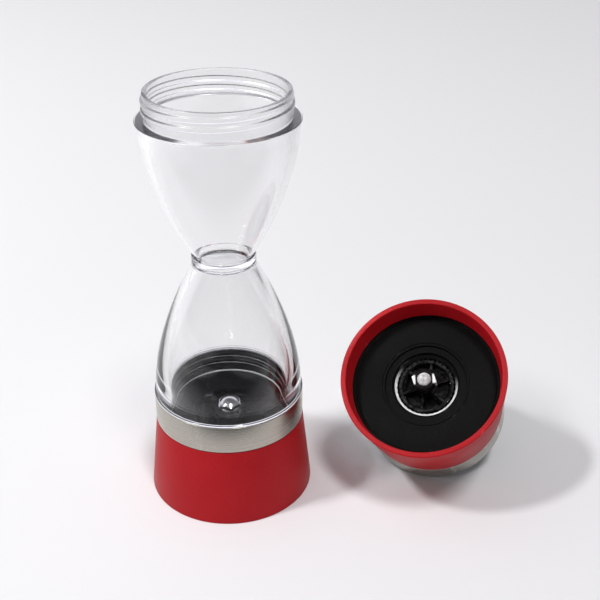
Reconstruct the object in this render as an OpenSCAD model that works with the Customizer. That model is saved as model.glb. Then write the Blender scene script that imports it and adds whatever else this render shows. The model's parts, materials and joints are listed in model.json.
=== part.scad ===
// Two-ended spice mill: a clear hourglass jar with a grinding head for each end.
// The lower head is screwed on and the mill stands on it. The upper head is
// unscrewed and lies tilted beside the mill, on the edge of its steel band.
// Millimetres. Z is the mill's axis and the table is z = 0. Each head is drawn
// foot down, with its foot at z = 0 and the jar above it.

/* [Skirt] */
// Radius of the foot rim
foot_r = 30; // [29:0.5:33]
// Height of the skirt
skirt_h = 29.2; // [29:0.2:33]
// Width of the rim at the foot
rim_w = 2; // [1.6:0.1:2.4]
// Wall of the skirt beside its inner chambers
skirt_wall = 1.5; // [1.2:0.1:1.8]
// Width of the skirt's top edge, from the outside to the collar's bore
top_edge_w = 2.15; // [2:0.05:2.6]
// Length of the bore that the collar turns in
bore_h = 7.2; // [6:0.2:7.6]

/* [Steel band] */
// Radius of the band, which the skirt's top and the jar's flanges share
body_r = 26.9; // [26.5:0.1:28.5]
// Height of the band
band_h = 10.3; // [10.1:0.1:12]
// Thickness of the band's sheet steel
band_t = 0.5; // [0.4:0.05:0.6]

/* [Jar] */
// Step in from a flange's edge to the cup's side
cup_step = 0.5; // [0.3:0.1:1.5]
// Height of the lower cup, from its flange's face to the seam at the waist
lower_cup_h = 52.2; // [50:0.2:60]
// Height of the upper cup, from the seam at the waist to its flange's face
upper_cup_h = 50.3; // [49:0.2:60]
// Radius of the ring at the waist
waist_r = 11.1; // [10.6:0.1:13]
// Height of the lower cup's half of the waist ring
lower_ring_h = 1.6; // [1.2:0.1:3]
// Height of the upper cup's half of the waist ring
upper_ring_h = 2.2; // [1.2:0.1:3]
// Step in from the waist ring to the upper cup
waist_step = 0.8; // [0.4:0.1:1.2]
// Radius that the lower cup's side is drawn towards on its way to the waist
lower_knee_r = 18.9; // [17:0.1:20]
// Height of that point above the lower cup's flange
lower_knee_h = 35.1; // [32:0.1:38]
// Radius that the upper cup's side is drawn towards on its way to the waist
upper_knee_r = 17.4; // [16:0.1:19]
// Height of that point below the upper cup's flange
upper_knee_h = 36.5; // [33:0.1:39]
// Solid plastic between the seam and each cup's floor
floor_t = 3; // [2:0.1:4]
// Wall of the cups beside their floors
cup_wall = 2.5; // [2:0.1:3]
// Thickness of a flange
flange_t = 0.8; // [0.7:0.1:2.5]
// Width of a flange's face, from the neck to its edge
flange_w = 3; // [2.8:0.1:3.2]

/* [Necks and threads] */
// Length of a neck, from the flange to the lip
neck_h = 9; // [8.2:0.1:9.2]
// Wall of a neck
neck_wall = 1.5; // [1.3:0.1:2.2]
// Pitch of the thread, right-handed
pitch = 3; // [2.6:0.1:3.4]
// Height of the thread's ridge above the neck
ridge_h = 0.6; // [0.45:0.05:0.9]
// Distance from a neck's lip to the start of its ridge
thread_start = 1.3; // [1.2:0.1:1.5]
// Turns of the ridge on a neck
neck_turns = 2.1; // [1.2:0.1:2.2]
// Thickness of the seal ring under a neck's lip
seal_t = 0.6; // [0.4:0.1:0.8]

/* [Collar] */
// Wall of the collar's lower tube
collar_wall = 1.8; // [1.4:0.1:2.2]
// Width of the ledge that the feed bridge sits on
ledge_w = 1.7; // [1.2:0.1:2]
// Thickness of that ledge
ledge_t = 1.6; // [1.2:0.1:2]
// Thickness of the clip that holds the collar in the skirt
clip_t = 1.1; // [0.8:0.1:1.3]
// Depth of the clip's groove in the collar
groove_d = 0.6; // [0.4:0.1:0.8]
// Angle left open in the clip
clip_gap_deg = 28; // [15:1:60]

/* [Cover plate] */
// Height of the plate's lower face above the foot
plate_z = 9; // [8.4:0.1:9.8]
// Thickness of the plate
plate_t = 2.5; // [2:0.1:3]
// Radius of the stepped eye around the grinder
eye_r = 14.9; // [14.2:0.1:15.4]
// Depth of the step
eye_d = 0.8; // [0.5:0.1:1]
// Radius of the hole that the ground spice falls through
mouth_r = 12.3; // [12:0.1:13]
// Thickness of the lip around that hole, which carries the outer burr
lip_t = 1; // [0.8:0.1:1.2]
// Wall of the tube around the outer burr
tube_wall = 1.8; // [1.4:0.1:2.2]

/* [Grinder] */
// Radius of the outer burr
burr_r = 15; // [14.6:0.1:15.6]
// Space between the top of the outer burr's tube and the feed bridge
feed_gap = 1.1; // [0.8:0.1:1.6]
// Radius of the grinding gap at the foot end, on the outer burr
gap_r = 10.7; // [10.3:0.1:11.2]
// Radius lost over the grinding length, which sets the burrs' taper
taper_r = 2; // [1.6:0.1:2.4]
// Length of the toothed grinding zone
grind_h = 4.6; // [4:0.1:5.2]
// Space between the two burrs at the finest setting
burr_gap = 0.55; // [0.45:0.05:0.7]
// Number of fine teeth on each burr
teeth = 36; // [24:2:48]
// Depth of the fine teeth
tooth_d = 0.5; // [0.3:0.05:0.6]
// Number of coarse flutes on the inner burr
flutes = 5; // [4:1:7]
// Radius of the inner burr's top
burr_top_r = 5.6; // [5.4:0.1:6]
// Length of the inner burr's hub below its rim
hub_drop = 3.6; // [3:0.1:4]
// Number of ribs under the inner burr
ribs = 6; // [4:1:8]
// Thickness of those ribs
rib_t = 0.9; // [0.7:0.1:1.2]

/* [Drive] */
// Radius of the shaft's threaded ends
shaft_r = 2.5; // [2.2:0.05:2.6]
// Side of the shaft's square
square_w = 5; // [4.9:0.05:5.2]
// Height of the shaft's domed tip above the foot
tip_z = 2; // [1.6:0.1:2.2]
// Width across the flats of both nuts
nut_af = 8; // [7.6:0.1:8.2]
// Height of the adjusting nut
nut_h = 4.1; // [3.4:0.1:4.2]
// Wire of the burr spring
wire_d = 0.8; // [0.6:0.05:0.9]
// Turns of the burr spring
coils = 3.5; // [2.5:0.5:4]
// Length of the spring's seat, from the inner burr's top to the feed bridge
spring_h = 5; // [4.4:0.1:5.6]
// Radius of the feed bridge's hub
hub_r = 6; // [5.8:0.1:6.6]
// Inner radius of the feed bridge's solid floor
window_r = 13.5; // [12.5:0.1:14]
// Number of arms on the feed bridge
arms = 3; // [2:1:4]
// Width of each arm
arm_w = 5; // [4:0.1:6]
// Thickness of the feed bridge's floor and arms
bridge_t = 1.6; // [1.2:0.1:2]
// Thickness of the washer under the dome nut
washer_t = 0.8; // [0.6:0.1:1]

/* [Head taken off] */
// Rise of the loose head's axis above the table, in degrees
lie_angle = 50.9; // [45:0.1:60]
// Distance of the loose head to the right of the mill's axis
lie_x = 67.6; // [64:0.1:90]
// Distance of the loose head's foot rim behind the mill's axis
lie_y = 18.7; // [0:0.1:30]

/* [Hidden] */
$fn = 96;

// Clearances: between pieces that turn on each other, between pieces that are
// fitted together, and between the skirt and the band as they show outside
run_gap = 0.25;
fit_gap = 0.1;
seam_gap = 0.3;
over = 1;             // how far a cut runs past the face that it opens
seam = 0.01;          // how far one cut runs into the next
edge = 0.4;           // rounding of the moulded edges

// Levels up the head, from the foot
burr_z = plate_z + eye_d + lip_t;
band_z = skirt_h + seam_gap;
collar_top_z = band_z + band_h;
flange_z = collar_top_z + fit_gap;
neck_lip_z = flange_z - neck_h;
land_z = neck_lip_z - seal_t;
bridge_rim_t = 2;
ledge_z = land_z - bridge_rim_t;
shoulder_z = skirt_h - bore_h;
clip_z = shoulder_z - run_gap - clip_t;
clip_lip = 0.65;
collar_end_z = clip_z - clip_lip;
support_z = collar_end_z - run_gap;
seam_z = flange_z + lower_cup_h;
upper_flange_z = seam_z + upper_cup_h;
jar_top_z = upper_flange_z + neck_h;

// Radii of the skirt, the collar and the neck
function skirt_r(z) = foot_r - (foot_r - body_r) * z / skirt_h;
plate_seat_r = skirt_r(plate_z + plate_t) - skirt_wall;
plate_r = plate_seat_r - fit_gap;
chamber_r = skirt_r(shoulder_z) - skirt_wall;
bore_r = body_r - top_edge_w;
collar_r = bore_r - run_gap;
collar_hole_r = collar_r - collar_wall;
ledge_r = collar_hole_r - ledge_w;
bridge_r = collar_hole_r - fit_gap;
collar_top_r = body_r - band_t;
neck_r = body_r - flange_w;
cup_r = body_r - cup_step;
neck_hole_r = neck_r - neck_wall;
thread_gap = 0.3;
socket_r = neck_r + ridge_h + thread_gap;
lead_in = 1;          // cone under the collar's top ring, matched by the skirt

// Grinder and drive
inner_rim_z = burr_z + lip_t * 0.4;
taper = taper_r / grind_h;
chamfer_h = 0.8;      // bright cone at the outer burr's mouth
chamfer_w = 0.9;
throat_r = gap_r - taper_r;
throat_z = burr_z + chamfer_h + grind_h;
funnel_wall = 2;
funnel_r = burr_r - funnel_wall;
inner_rim_r = gap_r - burr_gap + taper * (burr_z + chamfer_h - inner_rim_z);
hub_z = inner_rim_z - hub_drop;
burr_hub_r = 4.3;
nut_z = hub_z - fit_gap - nut_h;
bridge_slope = 0.2;
bridge_z = ledge_z - bridge_slope * (ledge_r - window_r) - fit_gap * 3;
tube_z = bridge_z - feed_gap;
tube_lip = 0.4;       // how far the tube stands above the outer burr
burr_h = tube_z - tube_lip - burr_z;
burr_top_z = bridge_z - spring_h;
inner_burr_h = burr_top_z - inner_rim_z;
hub_step = 1.2;
hub_top_z = bridge_z + bridge_t + hub_step;
socket_d = 1;         // how far the shaft's square enters the bridge's hub
square_top_z = bridge_z + socket_d;
square_lead = 1;      // round length of the shaft inside the inner burr
square_z = inner_rim_z + square_lead;
dome_nut_z = hub_top_z + washer_t;
dome_hex_h = 1.8;
dome_h = 1.6;         // height of the nut's low dome
dome_base_r = nut_af / 2 - fit_gap;
dome_r = (dome_base_r * dome_base_r + dome_h * dome_h) / (2 * dome_h);
shaft_past = 0.2;     // how far the shaft enters the nut's dome
washer_r = nut_af / 2 + 0.35;
shaft_top_z = dome_nut_z + dome_hex_h + shaft_past;
coil_gap = 0.25;
coil_r = square_w / sqrt(2) + coil_gap + wire_d / 2;
lug_w = 3;
lug_h = 5;
lug_r = burr_r + tube_wall * 0.9;

// Points on a circular arc, for rounded corners of an outline
function arc(c, r, from, to, n = 4) =
  [for (i = [0:n]) let (a = from + (to - from) * i / n) c + r * [cos(a), sin(a)]];

// Points on a cubic curve with the four given control points
function curve(a, b, c, d, n = 16) =
  [for (i = [0:n]) let (t = i / n, s = 1 - t)
    s * s * s * a + 3 * s * s * t * b + 3 * s * t * t * c + t * t * t * d];

// A helical ridge. Its foot is sunk in the wall at wall_r and its crest stands
// at crest_r, inside or outside the wall. It fades into the wall at both ends.
// start_z is the ridge's height at angle 0 and the ridge runs between two angles.
module helical_ridge(wall_r, crest_r, start_z, from, to) {
  step = 9;
  n = round((to - from) / step);
  fade = 4;           // steps over which an end rises out of the wall
  sink = 0.4;
  end_sink = 0.1;
  out = sign(crest_r - wall_r);
  foot_w = pitch * 0.52;
  crest_w = pitch * 0.22;
  function crest(i) =
    wall_r - out * end_sink
      + (crest_r - wall_r + out * end_sink) * min(1, i / fade, (n - i) / fade);
  function ring(i) =
    let (a = from + (to - from) * i / n, z = start_z + pitch * a / 360,
         u = [cos(a), sin(a), 0], up = [0, 0, 1])
    [u * (wall_r - out * sink) + (z - foot_w / 2) * up,
     u * crest(i) + (z - crest_w / 2) * up,
     u * crest(i) + (z + crest_w / 2) * up,
     u * (wall_r - out * sink) + (z + foot_w / 2) * up];
  sides = [for (i = [0:n - 1], k = [0:3])
    let (a = 4 * i + k, b = 4 * i + (k + 1) % 4)
    each (out > 0 ? [[a, b, b + 4], [a, b + 4, a + 4]] : [[b, a, b + 4], [b + 4, a, a + 4]])];
  last = 4 * n;
  ends = out > 0
    ? [[3, 2, 1], [3, 1, 0], [last, last + 1, last + 2], [last, last + 2, last + 3]]
    : [[1, 2, 3], [0, 1, 3], [last + 2, last + 1, last], [last + 3, last + 2, last]];
  polyhedron([for (i = [0:n]) each ring(i)], concat(sides, ends), convexity = 8);
}

// A fine-toothed cone, standing on its wide end
module toothed_cone(wide_r, narrow_r, h, depth) {
  linear_extrude(height = h, scale = narrow_r / wide_r)
    polygon([for (i = [0:2 * teeth - 1])
      let (a = 180 * i / teeth, r = wide_r - (i % 2) * depth) r * [cos(a), sin(a)]]);
}

// Puts a head where it lies on the table, taken off the mill
module taken_off() {
  translate([lie_x, lie_y, body_r * cos(lie_angle) + collar_top_z * sin(lie_angle)])
    rotate([-90 - lie_angle, 0, 0])
      children();
}

// Moulded grip that is turned to grind. The cover plate snaps in from below.
module skirt() {
  bead = 0.35;
  bead_z = plate_z - fit_gap;
  color([0.72, 0.07, 0.12])
    rotate_extrude()
      polygon(concat(
        arc([foot_r - edge, edge], edge, -90, 0),
        [[skirt_r(skirt_h - edge), skirt_h - edge], [body_r - edge, skirt_h]],
        [[bore_r + lead_in, skirt_h], [bore_r, skirt_h - lead_in], [bore_r, shoulder_z]],
        [[chamber_r, shoulder_z], [chamber_r, plate_z + plate_t]],
        [[plate_seat_r, plate_z + plate_t], [plate_seat_r, bead_z]],
        [[plate_seat_r - bead, bead_z - bead], [plate_seat_r, bead_z - 3 * bead]],
        arc([foot_r - rim_w + edge, edge], edge, 180, 270)
      ));
}

// Black plate under the skirt, with the tube that holds the outer burr and the
// ring that the collar rides on
module cover_plate() {
  line_w = 0.35;
  line_d = 0.25;
  color([0.07, 0.07, 0.07])
    difference() {
      union() {
        translate([0, 0, plate_z]) cylinder(r = plate_r, h = plate_t);
        translate([0, 0, plate_z]) cylinder(r = burr_r + tube_wall, h = tube_z - plate_z);
        translate([0, 0, plate_z + plate_t / 2])
          difference() {
            cylinder(r = collar_r, h = support_z - plate_z - plate_t / 2);
            cylinder(r = collar_hole_r, h = support_z);
          }
      }
      translate([0, 0, burr_z]) cylinder(r = burr_r + fit_gap, h = tube_z);
      cylinder(r = mouth_r, h = tube_z);
      translate([0, 0, plate_z - over]) cylinder(r = eye_r, h = eye_d + over);
      for (line_r = [eye_r + 0.8, plate_r - 1.6])
        translate([0, 0, plate_z - over])
          difference() {
            cylinder(r = line_r + line_w, h = line_d + over);
            translate([0, 0, -over]) cylinder(r = line_r, h = line_d + 3 * over);
          }
      for (i = [0:2])
        rotate([0, 0, 120 * i])
          translate([burr_r - over, -lug_w / 2 - fit_gap, tube_z - lug_h - fit_gap])
            cube([tube_wall + 3, lug_w + 2 * fit_gap, lug_h + over]);
    }
}

// Fixed burr. Three lugs at its top key it into the cover plate's tube.
module outer_burr() {
  lug_z = tube_z - lug_h;
  teeth_in = 0.2;     // how far the teeth stop short of, and pass, the grinding cone's ends
  color([0.05, 0.05, 0.05])
    difference() {
      union() {
        translate([0, 0, burr_z]) cylinder(r = burr_r, h = burr_h);
        for (i = [0:2])
          rotate([0, 0, 120 * i])
            translate([burr_r - over, -lug_w / 2, lug_z])
              cube([lug_r - burr_r + over, lug_w, burr_z + burr_h - lug_z]);
      }
      translate([0, 0, burr_z - over])
        cylinder(r1 = gap_r + chamfer_w * (1 + over / chamfer_h), r2 = gap_r, h = chamfer_h + over);
      translate([0, 0, burr_z + chamfer_h - seam])
        cylinder(r1 = gap_r, r2 = throat_r, h = grind_h + 2 * seam);
      translate([0, 0, burr_z + chamfer_h - teeth_in])
        toothed_cone(gap_r + tooth_d, throat_r + tooth_d, grind_h - 2 * teeth_in, 2 * tooth_d);
      translate([0, 0, throat_z])
        cylinder(r1 = throat_r, r2 = funnel_r, h = burr_z + burr_h - throat_z + seam);
    }
}

// Turning burr, hollow and ribbed below, with coarse flutes above
module inner_burr() {
  pocket_h = 3;
  rim_t = 1.5;
  top_cone_r = inner_rim_r - taper_r - tooth_d;
  flute_r = 1.9;
  flute_lean = 14;
  flute_out = 10;
  rib_step = 0.6;     // how far the ribs stand back from the rim
  foot_step = 0.2;    // how far the flutes start above the teeth
  color([0.06, 0.06, 0.06])
    difference() {
      union() {
        translate([0, 0, inner_rim_z])
          toothed_cone(inner_rim_r, inner_rim_r - taper_r, grind_h, tooth_d);
        translate([0, 0, inner_rim_z + grind_h])
          cylinder(r1 = top_cone_r, r2 = burr_top_r, h = inner_burr_h - grind_h);
        translate([0, 0, hub_z]) cylinder(r = burr_hub_r, h = hub_drop + over);
      }
      difference() {
        translate([0, 0, inner_rim_z - over])
          cylinder(r = inner_rim_r - rim_t, h = pocket_h + over);
        translate([0, 0, inner_rim_z - 2 * over])
          cylinder(r = burr_hub_r, h = pocket_h + 3 * over);
        for (i = [0:ribs - 1])
          rotate([0, 0, 30 + 360 * i / ribs])
            translate([burr_hub_r - over, -rib_t / 2, inner_rim_z + rib_step])
              cube([inner_rim_r, rib_t, pocket_h]);
      }
      for (i = [0:flutes - 1])
        rotate([0, 0, 360 * i / flutes])
          translate([top_cone_r + flute_r / 2, 0, inner_rim_z + grind_h + foot_step])
            rotate([flute_lean, -flute_out, 0])
              cylinder(r = flute_r, h = inner_burr_h);
      translate([0, 0, hub_z - over])
        linear_extrude(height = inner_burr_h + hub_drop + 2 * over)
          square(square_w + 2 * fit_gap, center = true);
    }
}

// Hexagonal bar with both ends chamfered, used by the two nuts
module hexagon(h, chamfer) {
  corner_r = nut_af / sqrt(3);
  intersection() {
    cylinder(r = corner_r, h = h, $fn = 6);
    rotate_extrude()
      polygon([
        [0, 0], [corner_r - chamfer * 1.7, 0], [corner_r, chamfer],
        [corner_r, h - chamfer], [corner_r - chamfer * 1.7, h], [0, h]
      ]);
  }
}

// Nut that holds the inner burr up and sets the grind
module adjusting_nut() {
  color([0.8, 0.8, 0.82])
    translate([0, 0, nut_z])
      difference() {
        hexagon(nut_h, 0.45);
        translate([0, 0, -over]) cylinder(r = shaft_r + fit_gap, h = nut_h + 2 * over);
      }
}

// Steel shaft: threaded ends, and a square between them that drives the burr
module drive_shaft() {
  tip_h = 1.6;
  tip_sphere_r = (shaft_r * shaft_r + tip_h * tip_h) / (2 * tip_h);
  color([0.75, 0.76, 0.78])
    union() {
      intersection() {
        translate([0, 0, tip_z + tip_sphere_r]) sphere(r = tip_sphere_r);
        translate([0, 0, tip_z - over]) cylinder(r = shaft_r, h = tip_h + over);
      }
      translate([0, 0, tip_z + tip_h]) cylinder(r = shaft_r, h = square_z - tip_z - tip_h);
      translate([0, 0, square_z])
        linear_extrude(height = square_top_z - square_z) square(square_w, center = true);
      translate([0, 0, square_top_z]) cylinder(r = shaft_r, h = shaft_top_z - square_top_z);
    }
}

// Spring that presses the inner burr down onto its nut
module burr_spring() {
  sides = 8;
  per_turn = 24;
  n = round(coils * per_turn);
  seat_gap = 0.05;
  foot = burr_top_z + wire_d / 2 + seat_gap;
  head = bridge_z - wire_d / 2 - seat_gap;
  points = [for (i = [0:n], k = [0:sides - 1])
    let (a = 360 * i / per_turn, b = 360 * k / sides,
         r = coil_r + wire_d / 2 * cos(b), z = foot + (head - foot) * i / n + wire_d / 2 * sin(b))
    [r * cos(a), r * sin(a), z]];
  faces = [for (i = [0:n - 1], k = [0:sides - 1])
    let (a = sides * i + k, b = sides * i + (k + 1) % sides)
    each [[a, b, b + sides], [a, b + sides, a + sides]]];
  color([0.7, 0.7, 0.72])
    polyhedron(points, concat(
      faces,
      [[for (k = [0:sides - 1]) sides - 1 - k], [for (k = [0:sides - 1]) sides * n + k]]
    ), convexity = 8);
}

// Spider that feeds spice to the grinder and carries the shaft. It drops onto
// the collar's ledge and the jar's neck holds it down.
module feed_bridge() {
  dish_r = ledge_r - 2 * fit_gap;
  dish_z = ledge_z - 3 * fit_gap;
  flat_r = window_r + 1.2;
  rim_wall = 1;
  rim_in_r = bridge_r - rim_wall;
  rim_in_z = ledge_z + 0.8;
  rim_taper = 0.6;
  arm_step = 0.15;
  color([0.06, 0.06, 0.06])
    difference() {
      union() {
        rotate_extrude()
          polygon([
            [window_r, bridge_z], [flat_r, bridge_z], [dish_r, dish_z], [dish_r, ledge_z],
            [bridge_r, ledge_z], [bridge_r, land_z], [rim_in_r, land_z],
            [rim_in_r - rim_taper, rim_in_z], [flat_r, bridge_z + bridge_t],
            [window_r, bridge_z + bridge_t]
          ]);
        for (i = [0:arms - 1])
          rotate([0, 0, 35 + 360 * i / arms])
            translate([0, -arm_w / 2, bridge_z + arm_step])
              cube([(window_r + flat_r) / 2, arm_w, bridge_t - 2 * arm_step]);
        translate([0, 0, bridge_z]) cylinder(r = hub_r, h = hub_top_z - bridge_z);
      }
      translate([0, 0, bridge_z - over])
        linear_extrude(height = socket_d + fit_gap + over)
          square(square_w + 2 * fit_gap, center = true);
      translate([0, 0, bridge_z]) cylinder(r = shaft_r + fit_gap, h = hub_top_z);
    }
}

// Washer between the feed bridge and its dome nut
module bridge_washer() {
  color([0.75, 0.75, 0.77])
    translate([0, 0, hub_top_z])
      difference() {
        cylinder(r = washer_r, h = washer_t);
        translate([0, 0, -over]) cylinder(r = shaft_r + fit_gap, h = washer_t + 2 * over);
      }
}

// Dome nut on the shaft's upper end
module dome_nut() {
  color([0.82, 0.82, 0.84])
    translate([0, 0, dome_nut_z])
      difference() {
        union() {
          hexagon(dome_hex_h, 0.4);
          translate([0, 0, dome_hex_h - fit_gap])
            intersection() {
              translate([0, 0, dome_h - dome_r]) sphere(r = dome_r);
              cylinder(r = dome_base_r, h = 2 * dome_h);
            }
        }
        translate([0, 0, -over])
          cylinder(r = shaft_r + fit_gap / 2, h = shaft_top_z - dome_nut_z + fit_gap + over);
      }
}

// Collar that the jar screws into. Its lower tube turns in the skirt.
module thread_collar() {
  crest_r = neck_r + thread_gap;
  first = 120;
  clear = pitch * 0.3;
  start_z = neck_lip_z + thread_start - pitch / 2;
  last = 360 * (collar_top_z - clear - start_z) / pitch;
  groove_r = collar_r - groove_d;
  color([0.06, 0.06, 0.06])
    union() {
      rotate_extrude()
        polygon([
          [collar_top_r, collar_top_z], [collar_top_r, band_z], [bore_r - run_gap + lead_in, band_z],
          [collar_r, band_z - lead_in], [collar_r, clip_z + clip_t], [groove_r, clip_z + clip_t],
          [groove_r, clip_z], [collar_r, clip_z], [collar_r, collar_end_z],
          [collar_hole_r, collar_end_z], [collar_hole_r, ledge_z - ledge_t],
          [ledge_r, ledge_z - ledge_t], [ledge_r, ledge_z], [collar_hole_r, ledge_z],
          [collar_hole_r, land_z], [socket_r, land_z], [socket_r, collar_top_z]
        ]);
      helical_ridge(socket_r, crest_r, start_z, first, last);
    }
}

// Open ring that snaps into the collar's groove under the skirt's shoulder
module retaining_clip() {
  half = clip_gap_deg / 2;
  far = chamber_r * 2;
  color([0.1, 0.1, 0.1])
    translate([0, 0, clip_z])
      difference() {
        cylinder(r = chamber_r - run_gap, h = clip_t - fit_gap / 2);
        translate([0, 0, -over]) cylinder(r = collar_r - groove_d + fit_gap, h = clip_t + 2 * over);
        translate([0, 0, -over])
          linear_extrude(height = clip_t + 2 * over)
            polygon([[0, 0], far * [cos(half), -sin(half)], far * [cos(half), sin(half)]]);
      }
}

// Brushed sheet-steel band around the collar
module steel_band() {
  color([0.66, 0.64, 0.6])
    translate([0, 0, band_z])
      difference() {
        cylinder(r = body_r, h = band_h);
        translate([0, 0, -over]) cylinder(r = collar_top_r, h = band_h + 2 * over);
      }
}

// Silicone ring between the jar's lip and the collar
module neck_seal() {
  color([0.85, 0.85, 0.83])
    translate([0, 0, land_z])
      difference() {
        cylinder(r = neck_r - fit_gap, h = seal_t);
        translate([0, 0, -over]) cylinder(r = neck_hole_r + fit_gap, h = seal_t + 2 * over);
      }
}

// One cup of the jar, lip down, with its lip at z = 0. cup_h runs from the
// flange's face to the seam, end_r is the cup's radius where it meets its half
// of the waist ring, and the knee is the curve's third control point.
module cup(cup_h, ring_h, end_r, knee_r, knee_h) {
  lip = 0.35;
  neck_run = 3;       // straight length of the bore past the flange
  cup_z = neck_h + flange_t;
  seam_at = neck_h + cup_h;
  ring_z = seam_at - ring_h;
  floor_z = seam_at - floor_t;
  floor_round = 1.5;
  floor_r = end_r - cup_wall + 0.5;
  belly_h = 16.7;
  groove = 0.2;
  outer = curve([cup_r, cup_z], [cup_r, cup_z + belly_h], [knee_r, cup_z + knee_h], [end_r, ring_z]);
  inner = curve([floor_r, floor_z - floor_round], [knee_r - cup_wall, cup_z + knee_h - floor_round],
                [neck_hole_r, cup_z + belly_h], [neck_hole_r, cup_z + neck_run]);
  color([0.92, 0.94, 0.96, 0.35])
    union() {
      rotate_extrude()
        polygon(concat(
          arc([neck_r - lip, lip], lip, -90, 0),
          [[neck_r, neck_h]],
          arc([body_r - lip, neck_h + lip], lip, -90, 0),
          arc([body_r - lip, cup_z - lip], lip, 0, 90),
          outer,
          [[waist_r, ring_z], [waist_r, seam_at - groove], [waist_r - groove, seam_at], [0, seam_at]],
          [[0, floor_z]],
          arc([floor_r - floor_round, floor_z - floor_round], floor_round, 90, 0),
          inner,
          arc([neck_hole_r + lip, lip], lip, 180, 270)
        ));
      helical_ridge(neck_r, neck_r + ridge_h, thread_start, 0, 360 * neck_turns);
    }
}

module lower_skirt() { skirt(); }
module lower_cover_plate() { cover_plate(); }
module lower_outer_burr() { outer_burr(); }
module lower_inner_burr() { inner_burr(); }
module lower_adjusting_nut() { adjusting_nut(); }
module lower_drive_shaft() { drive_shaft(); }
module lower_burr_spring() { burr_spring(); }
module lower_feed_bridge() { feed_bridge(); }
module lower_bridge_washer() { bridge_washer(); }
module lower_dome_nut() { dome_nut(); }
module lower_thread_collar() { thread_collar(); }
module lower_retaining_clip() { retaining_clip(); }
module lower_steel_band() { steel_band(); }
module lower_neck_seal() { neck_seal(); }

// Lower cup of the jar, screwed into the lower head
module lower_cup() {
  translate([0, 0, neck_lip_z])
    cup(lower_cup_h, lower_ring_h, waist_r, lower_knee_r, lower_knee_h);
}

// Upper cup of the jar, open until its own head goes back on
module upper_cup() {
  translate([0, 0, jar_top_z])
    rotate([180, 0, 0])
      cup(upper_cup_h, upper_ring_h, waist_r - waist_step, upper_knee_r, upper_knee_h);
}

module upper_skirt() { taken_off() skirt(); }
module upper_cover_plate() { taken_off() cover_plate(); }
module upper_outer_burr() { taken_off() outer_burr(); }
module upper_inner_burr() { taken_off() inner_burr(); }
module upper_adjusting_nut() { taken_off() adjusting_nut(); }
module upper_drive_shaft() { taken_off() drive_shaft(); }
module upper_burr_spring() { taken_off() burr_spring(); }
module upper_feed_bridge() { taken_off() feed_bridge(); }
module upper_bridge_washer() { taken_off() bridge_washer(); }
module upper_dome_nut() { taken_off() dome_nut(); }
module upper_thread_collar() { taken_off() thread_collar(); }
module upper_retaining_clip() { taken_off() retaining_clip(); }
module upper_steel_band() { taken_off() steel_band(); }
module upper_neck_seal() { taken_off() neck_seal(); }

lower_skirt();
lower_cover_plate();
lower_outer_burr();
lower_inner_burr();
lower_adjusting_nut();
lower_drive_shaft();
lower_burr_spring();
lower_feed_bridge();
lower_bridge_washer();
lower_dome_nut();
lower_thread_collar();
lower_retaining_clip();
lower_steel_band();
lower_neck_seal();
lower_cup();
upper_cup();
upper_skirt();
upper_cover_plate();
upper_outer_burr();
upper_inner_burr();
upper_adjusting_nut();
upper_drive_shaft();
upper_burr_spring();
upper_feed_bridge();
upper_bridge_washer();
upper_dome_nut();
upper_thread_collar();
upper_retaining_clip();
upper_steel_band();
upper_neck_seal();
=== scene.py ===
import json
import math

import bmesh
import bpy
from mathutils import Matrix, Vector


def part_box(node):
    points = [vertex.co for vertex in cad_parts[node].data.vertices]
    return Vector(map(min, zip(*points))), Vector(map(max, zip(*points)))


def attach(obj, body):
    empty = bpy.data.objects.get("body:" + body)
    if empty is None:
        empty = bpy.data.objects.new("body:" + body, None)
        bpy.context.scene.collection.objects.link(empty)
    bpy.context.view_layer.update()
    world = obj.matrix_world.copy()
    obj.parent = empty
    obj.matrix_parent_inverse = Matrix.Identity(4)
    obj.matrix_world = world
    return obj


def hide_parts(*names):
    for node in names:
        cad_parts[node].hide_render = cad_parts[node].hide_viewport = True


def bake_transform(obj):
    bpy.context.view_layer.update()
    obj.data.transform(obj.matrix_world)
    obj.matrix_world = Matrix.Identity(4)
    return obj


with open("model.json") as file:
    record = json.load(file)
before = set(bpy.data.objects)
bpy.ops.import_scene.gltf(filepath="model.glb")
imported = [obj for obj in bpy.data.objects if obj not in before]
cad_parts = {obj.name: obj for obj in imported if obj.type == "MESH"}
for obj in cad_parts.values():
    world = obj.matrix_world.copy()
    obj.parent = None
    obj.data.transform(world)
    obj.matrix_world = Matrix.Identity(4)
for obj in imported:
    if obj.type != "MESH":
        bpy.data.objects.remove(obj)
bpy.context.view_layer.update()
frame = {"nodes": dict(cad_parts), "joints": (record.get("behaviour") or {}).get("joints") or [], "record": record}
record = frame["record"]
bodyOf = {node: body for body, members in record["behaviour"]["bodies"].items() for node in members}
mm = 0.001
print("frame loaded:", len(bodyOf), "nodes")


def reachOf(node):
    # largest radius, lowest and highest level of a piece on the mill's own axis, in mm
    low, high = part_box(node)
    return max(high.x, high.y) / mm, low.z / mm, high.z / mm


# the loose head lies where the joint that its grip turns on says
def looseHeadPlace():
    hinge = next(joint for joint in frame["joints"] if joint["name"] == "upper_grind")
    up = -Vector(hinge["axis"]).normalized()      # from the head's foot towards its collar
    tilt = Matrix.Rotation(math.atan2(-up.y, up.z), 4, "X")
    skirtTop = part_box("lower_skirt")[1].z
    return Matrix.Translation(Vector(hinge["pos_m"]) - up * skirtTop) @ tilt


headPlaces = {"lower": Matrix.Identity(4), "upper": looseHeadPlace()}

cameraSettings = {
    "place": (0.13538, -0.29016, 0.25195),
    "pitch": 61.065,
    "yaw": 20.352,
    "lens": 62.59,
    "sensor": 36,
    "clipStart": 0.01,
}


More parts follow.
